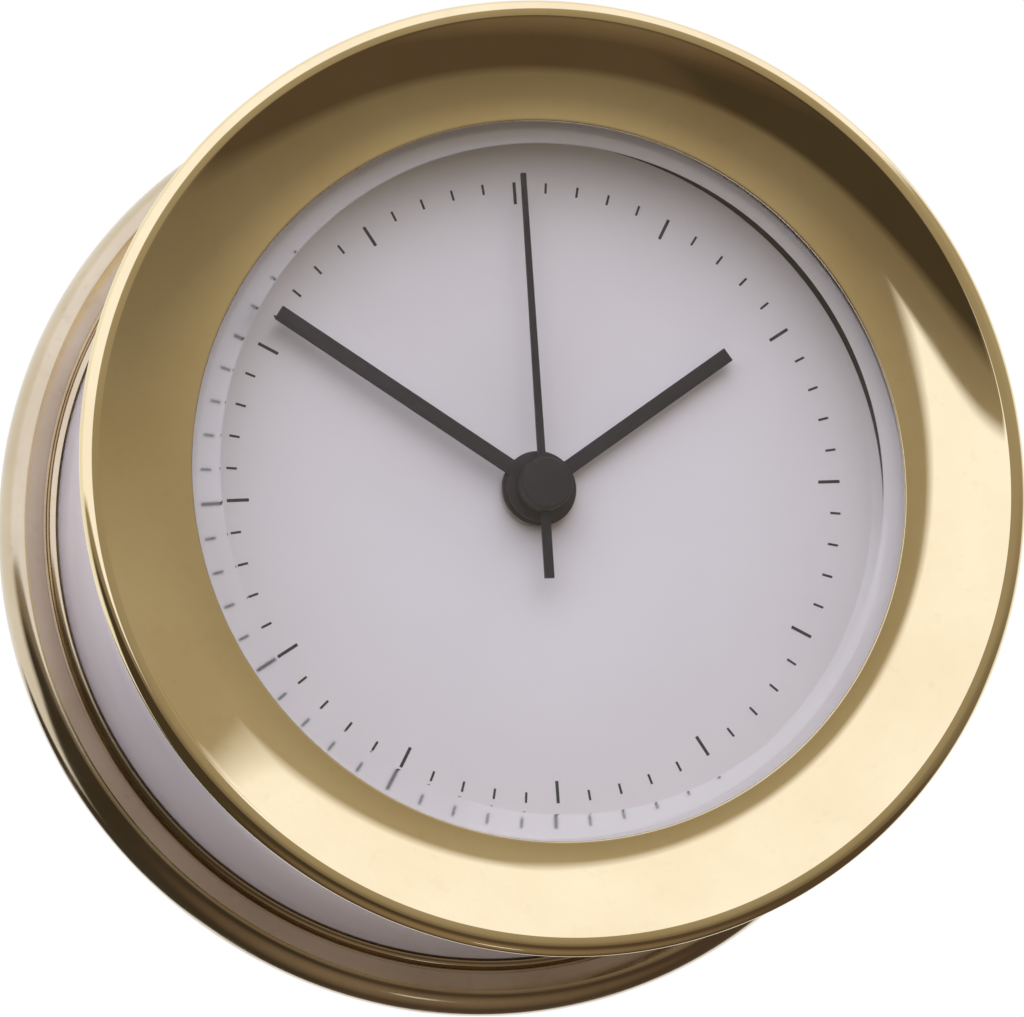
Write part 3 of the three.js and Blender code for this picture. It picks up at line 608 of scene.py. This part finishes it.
def makeBezel(p):
    bm = bmesh.new()
    backCentre = p["radius"] - p["rimBack"]
    crestRadius = p["radius"] - p["rimWidth"]
    width = crestRadius - p["opening"]
    rimFront = p["rimPlane"] + p["edgeRound"]
    drop = rimFront - p["openingEdge"]
    coveRadius = (width ** 2 + drop ** 2) / (2 * drop)
    coveSweep = math.degrees(math.asin(width / coveRadius))
    start = penDown(bm, p["bore"], p["neckEnd"])
    tip = penPath(bm, start, [
        (p["neck"], p["neckEnd"]), (p["neck"], p["collarBack"]), (p["drum"], p["collarBack"]),
        (backCentre, p["rimPlane"] - p["rimBack"]),
    ])
    tip = penArc(bm, tip, backCentre, p["rimPlane"], 90, 12)
    tip = penArc(bm, tip, p["radius"] - p["edgeRound"], p["rimPlane"], 90, 18)
    crest = penLine(bm, tip, crestRadius, rimFront)
    edge = penArc(bm, crest, p["opening"], p["openingEdge"] + coveRadius, -coveSweep, 36)
    lip = penLine(bm, edge, p["opening"], p["lipBack"])
    tip = penLine(bm, lip, p["bore"], p["lipBack"])
    penClose(bm, tip, start)
    softenCorners(bm, [crest], p["crest"])
    softenCorners(bm, [edge, lip, start], p["corner"])
    lathe(bm, 256)
    return addPiece("bezelRing", bm, bezelBrass, "bezel_unit", ["bezel"], 20)


makeBezel(bezelShape)

# glass: thick, flat in the middle, with a steep bevel that runs on under the bezel's lip to a flat rim
glassShape = {
    "radius": 43.6, "bevelRadius": 42.0, "flatRadius": 38.7, "back": 41.65, "rimTop": 44.05, "front": 46.525,
    "corner": 0.1,
}


def makeGlass(p):
    bm = bmesh.new()
    start = penDown(bm, 0, p["back"])
    rim = penLine(bm, start, p["radius"], p["back"])
    top = penLine(bm, rim, p["radius"], p["rimTop"])
    bevel = penLine(bm, top, p["bevelRadius"], p["rimTop"])
    flat = penLine(bm, bevel, p["flatRadius"], p["front"])
    penLine(bm, flat, 0, p["front"])
    softenCorners(bm, [rim, top, flat], p["corner"])
    lathe(bm, 224)
    return addPiece("bevelGlass", bm, clearGlass, "bezel_unit", ["glass"], 12)


makeGlass(glassShape)

# gasket behind the glass, and the ring that holds both in the bezel
gasketShape = {"bore": 42.2, "radius": 43.6, "back": 40.9, "front": 41.35, "corner": 0.1}
ringShape = {"bore": 41.9, "radius": 43.6, "back": 38.9, "front": 40.6, "corner": 0.15}
gasketMesh = turnedRing(gasketShape)
ringMesh = turnedRing(ringShape)
addPiece("glassGasket", gasketMesh, sealRubber, "bezel_unit", ["glass_gasket"])
addPiece("glassRing", ringMesh, bezelBrass, "bezel_unit", ["glass_ring"])
print("case, bezel and glass made")

# dial with printed ticks
dialShape = {"bore": 3.6, "radius": 40.9, "back": 34.4, "front": 35.4, "corner": 0.12}
tickShape = {
    "outer": 35.8, "hourInner": 33.26, "hourWidth": 0.36, "minuteInner": 34.6, "minuteWidth": 0.26,
    "thickness": 0.03,
}


def makeTicks(p, front):
    bm = bmesh.new()
    for minute in range(60):
        onHour = minute % 5 == 0
        inner, width = (p["hourInner"], p["hourWidth"]) if onHour else (p["minuteInner"], p["minuteWidth"])
        size = Matrix.Diagonal((width * mm, (p["outer"] - inner) * mm, 2 * p["thickness"] * mm, 1))
        along = Matrix.Translation((0, (p["outer"] + inner) / 2 * mm, front * mm))
        turn = Matrix.Rotation(-math.radians(6 * minute), 4, "Z")
        bmesh.ops.create_cube(bm, size=1, matrix=faceOn @ turn @ along @ size)
    return addPiece("dialTicks", bm, dialInk, "case")


addPiece("dialPlate", turnedRing(dialShape, 224), dialEnamel, "case", ["dial"])
makeTicks(tickShape, dialShape["front"])

# dial seat: ledge behind the dial's edge, on a skirt that stands on the drum's shoulder
seatShape = {
    "inner": 39.5, "outer": 48.3, "top": 34.1, "thickness": 0.6, "skirtFoot": 27.6, "skirtWall": 0.8,
    "corner": 0.1,
}


def makeSeat(p):
    bm = bmesh.new()
    skirtInner = p["outer"] - p["skirtWall"]
    under = p["top"] - p["thickness"]
    start = penDown(bm, skirtInner, p["skirtFoot"])
    tip = penPath(bm, start, [
        (p["outer"], p["skirtFoot"]), (p["outer"], p["top"]), (p["inner"], p["top"]),
        (p["inner"], under), (skirtInner, under),
    ])
    penClose(bm, tip, start)
    softenCorners(bm, bm.verts[:], p["corner"])
    lathe(bm)
    return addPiece("dialSeat", bm, darkSteel, "case", ["dial_seat"])


makeSeat(seatShape)
print("dial made")

# hands: a boss with arms drawn out of its rim, then given a thickness and softened edges
# each arm is (reach, width at the root, width at the tip), and the angle is clockwise from 12
hourShape = {
    "boss": 4.3, "bore": 2.4, "arms": [(27.7, 1.7, 1.7)], "back": 36.7, "thickness": 0.5, "edge": 0.07,
    "angle": 57.5,
}
minuteShape = {
    "boss": 4.0, "bore": 1.75, "arms": [(35.8, 1.75, 1.75)], "back": 37.6, "thickness": 0.5, "edge": 0.07,
    "angle": 305.9,
}
secondsShape = {
    "boss": 3.0, "arms": [(36.2, 0.9, 0.6), (-10.7, 1.1, 1.1)], "back": 38.9, "thickness": 0.4,
    "capBack": 38.5, "capFront": 41.1, "capRound": 0.4, "angle": 0.4,
}


def drawArm(bm, rimEdges, reach, rootWidth, tipWidth):
    side = math.copysign(1, reach)
    rim = {v for e in rimEdges for v in e.verts if v.co.y * side > 0}
    radius = max(v.co.length for v in rim)
    half = rootWidth / 2 * mm
    for sign in (1, -1):
        nearest = min(rim, key=lambda v: abs(v.co.x - sign * half))
        nearest.co = (sign * half, side * math.sqrt(radius ** 2 - half ** 2), 0)
    root = [e for e in rimEdges if all(v in rim and abs(v.co.x) < half + 1e-7 for v in e.verts)]
    for item in bmesh.ops.extrude_edge_only(bm, edges=root)["geom"]:
        if isinstance(item, bmesh.types.BMVert):
            item.co.x *= tipWidth / rootWidth
            item.co.y = reach * mm


def thicken(bm, thickness):
    grown = bmesh.ops.extrude_face_region(bm, geom=bm.faces[:])["geom"]
    bmesh.ops.translate(bm, vec=(0, 0, thickness * mm), verts=onlyVerts(grown))
    bmesh.ops.recalc_face_normals(bm, faces=bm.faces)


def keenEdges(bm):
    return [e for e in bm.edges if e.is_manifold and e.calc_face_angle() > math.radians(60)]


def standUp(bm, height, angle):
    turn = Matrix.Rotation(-math.radians(angle), 4, "Z")
    bmesh.ops.transform(bm, matrix=faceOn @ turn @ Matrix.Translation((0, 0, height * mm)), verts=bm.verts)


def makeHand(name, p, body, node):
    bm = bmesh.new()
    bmesh.ops.create_circle(bm, segments=72, radius=p["boss"] * mm)
    rimEdges = bm.edges[:]
    bmesh.ops.create_circle(bm, segments=72, radius=p["bore"] * mm)
    bmesh.ops.bridge_loops(bm, edges=bm.edges[:])
    for arm in p["arms"]:
        drawArm(bm, rimEdges, *arm)
    thicken(bm, p["thickness"])
    softenEdges(bm, keenEdges(bm), p["edge"])
    standUp(bm, p["back"], p["angle"])
    return addPiece(name, bm, handBlack, body, [node], 40)


def makeSecondsHand(p):
    bm = bmesh.new()
    bmesh.ops.create_circle(bm, cap_ends=True, segments=72, radius=p["boss"] * mm)
    rimEdges = bm.edges[:]
    for arm in p["arms"]:
        drawArm(bm, rimEdges, *arm)
    thicken(bm, p["thickness"])
    discs = sorted((f for f in bm.faces if len(f.verts) > 40), key=lambda f: f.calc_center_median().z)
    shifts = (p["capBack"] - p["back"], p["capFront"] - p["back"] - p["thickness"])
    ends = []
    for disc, shift in zip(discs, shifts):
        face = bmesh.ops.extrude_discrete_faces(bm, faces=[disc])["faces"][0]
        bmesh.ops.translate(bm, vec=(0, 0, shift * mm), verts=face.verts)
        ends.append(face)
    softenEdges(bm, ends[1].edges[:], p["capRound"], 5)
    bmesh.ops.recalc_face_normals(bm, faces=bm.faces)
    standUp(bm, p["back"], p["angle"])
    return addPiece("secondsHand", bm, handBlack, "seconds_unit", ["seconds_hand"], 40)


makeHand("hourHand", hourShape, "hour_unit", "hour_hand")
makeHand("minuteHand", minuteShape, "minute_unit", "minute_hand")
makeSecondsHand(secondsShape)
print("hands made")

# back cover: disc with a battery window, a keyhole and sunk screw holes
coverShape = {
    "radius": 47.0, "thickness": 2.0, "window": (25.7, -33.38, -8.3), "windowRound": 2.5, "keyhole": 30.0,
    "keyRadius": 4.6, "slot": 2.4, "rise": 7.0, "screwCircle": 44.0, "screwAngles": (150, 270, 30),
    "holeRadius": 2.0, "edge": 0.18,
}


def makeCover(p):
    bm = bmesh.new()
    bmesh.ops.create_circle(bm, segments=160, radius=p["radius"] * mm)
    half, bottom, top = p["window"]
    middle = Matrix.Translation((0, (bottom + top) / 2 * mm, 0))
    size = Matrix.Diagonal((half * mm, (top - bottom) / 2 * mm, 1, 1))
    bmesh.ops.create_grid(bm, x_segments=1, y_segments=1, size=1, matrix=middle @ size)
    window = bm.faces[:][0].verts[:]
    bmesh.ops.delete(bm, geom=bm.faces[:], context="FACES_ONLY")
    softenCorners(bm, window, p["windowRound"], 6)
    neck = math.degrees(math.asin(p["slot"] / p["keyRadius"]))
    shoulder = p["keyhole"] + p["keyRadius"] * math.cos(math.radians(neck))
    start = bm.verts.new((-p["slot"] * mm, shoulder * mm, 0))
    tip = start
    for centre, sweep, steps in ((p["keyhole"], 360 - 2 * neck, 40), (p["keyhole"] + p["rise"], 180, 18)):
        if tip is not start:
            tip = bmesh.ops.extrude_vert_indiv(bm, verts=[tip])["verts"][0]
            tip.co.y = centre * mm
        turned = bmesh.ops.spin(
            bm, geom=[tip], cent=(0, centre * mm, 0), axis=(0, 0, 1), angle=math.radians(sweep), steps=steps,
        )
        tip = onlyVerts(turned["geom_last"])[0]
    penClose(bm, tip, start)
    outwards = Matrix.Translation((p["screwCircle"] * mm, 0, 0))
    for angle in p["screwAngles"]:
        turn = Matrix.Rotation(math.radians(angle), 4, "Z")
        bmesh.ops.create_circle(bm, segments=32, radius=p["holeRadius"] * mm, matrix=turn @ outwards)
    bmesh.ops.triangle_fill(bm, use_beauty=True, edges=bm.edges[:])
    thicken(bm, p["thickness"])
    softenEdges(bm, keenEdges(bm), p["edge"])
    standUp(bm, 0, 0)
    return addPiece("backCover", bm, darkSteel, "case", ["back_cover"], 35)


makeCover(coverShape)

# cover screws: flat heads with a driver slot, sunk in the cover
screwShape = {
    "head": 1.8, "shank": 0.9, "headHeight": 0.8, "length": 2.6, "slotWidth": 0.5, "slotDepth": 0.35,
    "edge": 0.12, "slotTurn": 37,
}


def makeScrew(p, index, angle, circle):
    bm = bmesh.new()
    end = p["headHeight"] + p["length"]
    start = penDown(bm, 0, 0)
    rim = penLine(bm, start, p["head"], 0)
    under = penLine(bm, rim, p["head"], p["headHeight"])
    penPath(bm, under, [(p["shank"], p["headHeight"]), (p["shank"], end), (0, end)])
    softenCorners(bm, [rim, under], p["edge"])
    lathe(bm, 40)
    halfSlot = p["slotWidth"] / 2 * mm
    for side in (halfSlot, -halfSlot):
        whole = bm.verts[:] + bm.edges[:] + bm.faces[:]
        bmesh.ops.bisect_plane(bm, geom=whole, dist=1e-8, plane_co=(0, 0, side), plane_no=(0, 0, 1))
    groove = [f for f in bm.faces if f.normal.y > 0.9 and abs(f.calc_center_median().z) < halfSlot]
    cut = bmesh.ops.extrude_face_region(bm, geom=groove)["geom"]
    bmesh.ops.translate(bm, vec=(0, -p["slotDepth"] * mm, 0), verts=onlyVerts(cut))
    bmesh.ops.delete(bm, geom=[f for f in groove if f.is_valid], context="FACES")
    turn = Matrix.Rotation(math.radians(p["slotTurn"] * index), 4, "Y")
    spot = Vector((circle * math.cos(math.radians(angle)), 0, circle * math.sin(math.radians(angle)))) * mm
    bmesh.ops.transform(bm, matrix=Matrix.Translation(spot) @ turn, verts=bm.verts)
    return addPiece(f"coverScrew{index}", bm, plainSteel, "case", [f"cover_screw_{index}"], 35)


for index, angle in enumerate(coverShape["screwAngles"], 1):
    makeScrew(screwShape, index, angle, coverShape["screwCircle"])

# setting knob: ribbed round its edge
knobShape = {"ribs": 24, "ribDepth": 0.35, "edge": 0.25}


def makeKnob(p):
    low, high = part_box("setting_knob")
    radius = (high.x - low.x) / 2
    bm = bmesh.new()
    bmesh.ops.create_cone(
        bm, cap_ends=True, segments=4 * p["ribs"], radius1=radius, radius2=radius, depth=high.y - low.y,
        matrix=faceOn,
    )
    shrink = 1 - p["ribDepth"] * mm / radius
    for v in bm.verts:
        step = round(math.degrees(math.atan2(v.co.x, v.co.z)) / (90 / p["ribs"]))
        if step % 4 >= 2:  # two steps out, two steps in
            v.co.x *= shrink
            v.co.z *= shrink
    caps = [e for e in bm.edges if abs(e.verts[0].co.y - e.verts[1].co.y) < 1e-7]
    softenEdges(bm, caps, p["edge"])
    bmesh.ops.translate(bm, vec=(low + high) / 2, verts=bm.verts)
    return addPiece("settingKnob", bm, casePlastic, "setting_unit", ["setting_knob"], 30)


makeKnob(knobShape)

# battery cell, lying along the width, contact nub to the right
cellShape = {
    "radius": 7.1, "body": 48.0, "length": 49.2, "nub": 2.7, "neck": 5.6, "crimp": 0.35, "dish": 0.3,
    "dishInner": 4.2, "dishOuter": 4.6, "corner": 0.3,
}


def makeCell(p):
    low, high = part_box("battery_cell")
    sunk = p["body"] - p["dish"]
    bm = bmesh.new()
    start = penDown(bm, 0, p["dish"])
    tip = penPath(bm, start, [(p["dishInner"], p["dish"]), (p["dishOuter"], 0)])
    foot = penLine(bm, tip, p["radius"] - p["crimp"], 0)
    rim = penLine(bm, foot, p["radius"], p["crimp"] + p["dish"])
    shoulder = penLine(bm, rim, p["radius"], p["body"])
    tip = penPath(bm, shoulder, [(p["neck"], p["body"]), (p["neck"], sunk), (p["nub"], sunk)])
    nub = penLine(bm, tip, p["nub"], p["length"])
    penLine(bm, nub, 0, p["length"])
    softenCorners(bm, [foot, rim, shoulder, nub], p["corner"])
    lathe(bm, 96)
    place = Matrix.Translation((low.x, (low.y + high.y) / 2, (low.z + high.z) / 2))
    lieDown = Matrix.Rotation(math.radians(90), 4, "Z")
    bmesh.ops.transform(bm, matrix=place @ lieDown, verts=bm.verts)
    return addPiece("batteryCell", bm, cellSleeve, "battery", ["battery_cell"], 30)


makeCell(cellShape)
print("back, knob and battery made")

# solids that stay as they are take a finish by the record's slot
finishOfSlot = {
    "base_brass": baseBrass, "bezel_brass": bezelBrass, "white_paint": whiteLacquer, "dial_white": dialEnamel,
    "hand_black": handBlack, "clear_glass": clearGlass, "seal_rubber": sealRubber, "dark_steel": darkSteel,
    "plain_steel": plainSteel, "case_plastic": casePlastic, "train_plastic": trainPlastic,
    "magnet_dark": magnetDark, "board_green": boardGreen, "coil_copper": coilCopper, "cell_grey": cellSleeve,
}
for part in frame["record"]["subparts"]:
    solid = frame["nodes"][part["node"]]
    solid.data.materials.clear()
    solid.data.materials.append(finishOfSlot[part["material_slot"]])

# pale floor, well below the clock as it hangs
floorShape = {"height": -6.0, "radius": 0.4, "dull": (0.776, 0.7663, 0.7566), "pale": (0.8, 0.79, 0.78)}


def makeFloor(p):
    finish, tree, shader, place = startFinish("paleFloor")
    colour = shades(tree, grain(tree, place, size=60), [(0.3, p["dull"]), (0.7, p["pale"])])
    plug(tree, colour, shader.inputs["Base Color"])
    shader.inputs["Roughness"].default_value = 0.8
    bm = bmesh.new()
    spot = Matrix.Translation((0, 0, p["height"]))
    bmesh.ops.create_circle(bm, cap_ends=True, segments=96, radius=p["radius"], matrix=spot)
    mesh = bpy.data.meshes.new("floor")
    bm.to_mesh(mesh)
    bm.free()
    mesh.materials.append(finish)
    floor = bpy.data.objects.new("floor", mesh)
    scene.collection.objects.link(floor)


makeFloor(floorShape)

# surroundings: warm walls, open sky up to the left, shade below it, a white backdrop and a dark card beside it
# levels run from straight down (0) to straight up (1), each edge is a pair: where it starts and where it ends
surroundings = {
    "levels": [
        (0, (0.26, 0.2, 0.135)), (0.13, (0.095, 0.066, 0.046)), (0.27, (0.095, 0.066, 0.046)),
        (0.32, (0.19, 0.155, 0.11)), (0.45, (0.235, 0.196, 0.142)), (0.58, (0.36, 0.31, 0.225)),
        (0.675, (0.43, 0.375, 0.28)),
    ],
    "skyColour": (1.16, 1.18, 1.35), "skySide": (-1.05, 0.48, 1.0), "skyLift": 0.195, "skyEdge": (-0.02, 0.06),
    "horizonSide": (0.25, 0, 1), "horizonLift": 0.12, "horizonSlope": 1.6,
    "cornerSide": (-0.592, -0.008, 0.806), "cornerFoot": 0.42,
    "shadeColour": (0.06, 0.048, 0.032), "shadeSide": (-0.45, 0, -1), "shadeReach": 0.41, "shadeEnd": -0.05,
    "shadeFoot": -0.72, "shadeEdge": (-0.03, 0.06),
    "backdropColour": (1, 1, 1), "backdropFoot": -0.2, "backdropSlope": 4, "backdropEdge": (0, 0.35),
    "cardSide": (-0.4, 0.88, -0.25), "cardEdge": (0.966, 0.978),
}


def facing(tree, look, side):
    node = addNode(tree, "ShaderNodeVectorMath", operation="DOT_PRODUCT")
    plug(tree, look, node.inputs[0])
    node.inputs[1].default_value = Vector(side).normalized()
    return node.outputs["Value"]


def makeWorld(p):
    world = bpy.data.worlds.new("surroundings")
    scene.world = world
    world.use_nodes = True
    tree = world.node_tree
    look = addNode(tree, "ShaderNodeTexCoord").outputs["Generated"]
    across, deep, height = (alongAxis(tree, look, axis) for axis in "XYZ")
    light = shades(tree, spread(tree, height, -1, 1, 0, 1), p["levels"])
    # sky: above a slanting skyline and the horizon, with one more corner up to the left
    skyline = maths(tree, "ADD", facing(tree, look, p["skySide"]), p["skyLift"])
    horizon = maths(tree, "ADD", facing(tree, look, p["horizonSide"]), p["horizonLift"])
    openSky = maths(tree, "MINIMUM", skyline, maths(tree, "MULTIPLY", horizon, p["horizonSlope"]))
    aboveFoot = maths(tree, "SUBTRACT", height, p["cornerFoot"])
    corner = maths(tree, "MINIMUM", facing(tree, look, p["cornerSide"]), aboveFoot)
    sky = spread(tree, maths(tree, "MAXIMUM", openSky, corner), *p["skyEdge"], 0, 1)
    light = overlay(tree, sky, light, p["skyColour"])
    # shade: down to the left, but not straight down
    below = maths(tree, "SUBTRACT", facing(tree, look, p["shadeSide"]), p["shadeReach"])
    toLeft = maths(tree, "SUBTRACT", p["shadeEnd"], across)
    aboveGround = maths(tree, "SUBTRACT", height, p["shadeFoot"])
    shade = maths(tree, "MINIMUM", maths(tree, "MINIMUM", below, toLeft), aboveGround)
    light = overlay(tree, spread(tree, shade, *p["shadeEdge"], 0, 1), light, p["shadeColour"])
    # backdrop: all that lies behind the clock, down to its foot
    underFoot = maths(tree, "MINIMUM", maths(tree, "SUBTRACT", height, p["backdropFoot"]), 0)
    reach = maths(tree, "ADD", deep, maths(tree, "MULTIPLY", underFoot, p["backdropSlope"]))
    light = overlay(tree, spread(tree, reach, *p["backdropEdge"], 0, 1), light, p["backdropColour"])
    card = spread(tree, facing(tree, look, p["cardSide"]), *p["cardEdge"], 0, 1)
    light = overlay(tree, card, light, p["shadeColour"])
    plug(tree, light, tree.nodes["Background"].inputs["Color"])
    tree.nodes["Background"].inputs["Strength"].default_value = 1


makeWorld(surroundings)

# lamps: soft discs that look at the clock
lampShape = {
    "highLamp": {"place": (-0.15, -1.55, 1.25), "size": 2.0, "power": 10.5},
    "lowLamp": {"place": (-0.5, -0.1, -1.3), "size": 1.2, "power": 4.5},
}


def makeLamp(name, p):
    data = bpy.data.lights.new(name, "AREA")
    data.shape = "DISK"
    data.size = p["size"]
    data.energy = p["power"]
    lamp = bpy.data.objects.new(name, data)
    lamp.visible_glossy = False  # polished metal mirrors the surroundings, not the lamps
    scene.collection.objects.link(lamp)
    turn = Vector(p["place"]).to_track_quat("Z", "Y").to_matrix().to_4x4()
    lamp.matrix_world = Matrix.Translation(p["place"]) @ turn


for name, lamp in lampShape.items():
    makeLamp(name, lamp)
print("floor and light made")
